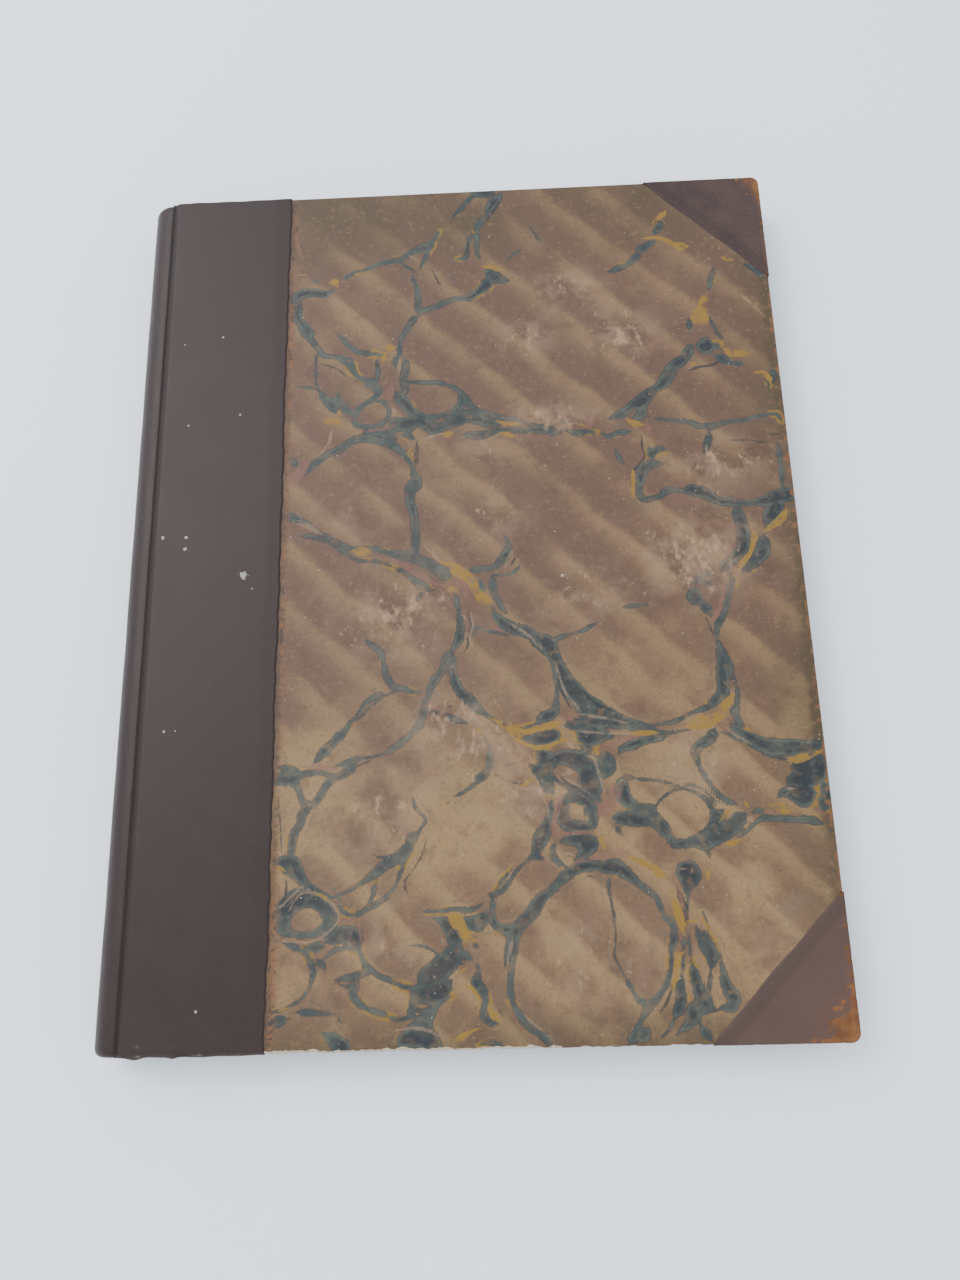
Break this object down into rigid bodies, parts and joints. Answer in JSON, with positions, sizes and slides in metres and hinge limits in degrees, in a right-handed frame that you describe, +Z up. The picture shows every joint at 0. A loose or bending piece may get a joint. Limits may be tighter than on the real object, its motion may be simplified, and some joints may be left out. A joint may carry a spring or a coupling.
{
  "type": "half-leather hardback book",
  "caption": "Old half-leather hardback book with marbled paper sides, leather spine and corners, sewn pages and covers that open at the joints.",
  "frame": {"origin": "centre of the closed book's footprint, on the surface that it lies on", "axes": "+X from the spine to the fore edge, +Y from the tail to the head, +Z up out of the front cover"},
  "size_m": [0.1826, 0.24, 0.014],
  "materials": {
    "pages": "aged rag paper, cut edges, matte",
    "endpaper": "plain toned endpaper, lightly foxed, matte",
    "marbled_paper": "traditional stone-marbled paper in brown and mauve with teal, ochre and red veins, rubbed, soft sheen",
    "spine_leather": "smooth dark brown leather, very fine grain, satin, lightly rubbed",
    "corner_leather": "dark purple-brown leather, rubbed to tan at the tips and the fore edge",
    "pasteboard": "dense grey-brown pasteboard",
    "spine_cloth": "open lining cloth under glue, matte",
    "sewing_cord": "hemp cord, matte",
    "endband_silk": "thread worked over a core, soft sheen"
  },
  "bodies": {
    "book_block": {"text_block": "pages", "sewing_cords": "sewing_cord", "spine_lining": "spine_cloth", "head_endband": "endband_silk", "tail_endband": "endband_silk", "spine_leather": "spine_leather", "front_flyleaf": "endpaper", "back_flyleaf": "endpaper"},
    "front_cover": {"front_board": "pasteboard", "front_side_leather": "spine_leather", "front_head_corner": "corner_leather", "front_tail_corner": "corner_leather", "front_marbled_paper": "marbled_paper", "front_pastedown": "endpaper"},
    "back_cover": {"back_board": "pasteboard", "back_side_leather": "spine_leather", "back_head_corner": "corner_leather", "back_tail_corner": "corner_leather", "back_marbled_paper": "marbled_paper", "back_pastedown": "endpaper"}
  },
  "joints": [
    {"name": "front_cover_hinge", "type": "hinge", "parent": "book_block", "child": "front_cover", "pos_m": [-0.08375, 0, 0.014], "axis": [0, -1, 0], "range_deg": [0, 180]},
    {"name": "back_cover_hinge", "type": "hinge", "parent": "book_block", "child": "back_cover", "pos_m": [-0.08375, 0, 0], "axis": [0, 1, 0], "range_deg": [0, 180]}
  ]
}
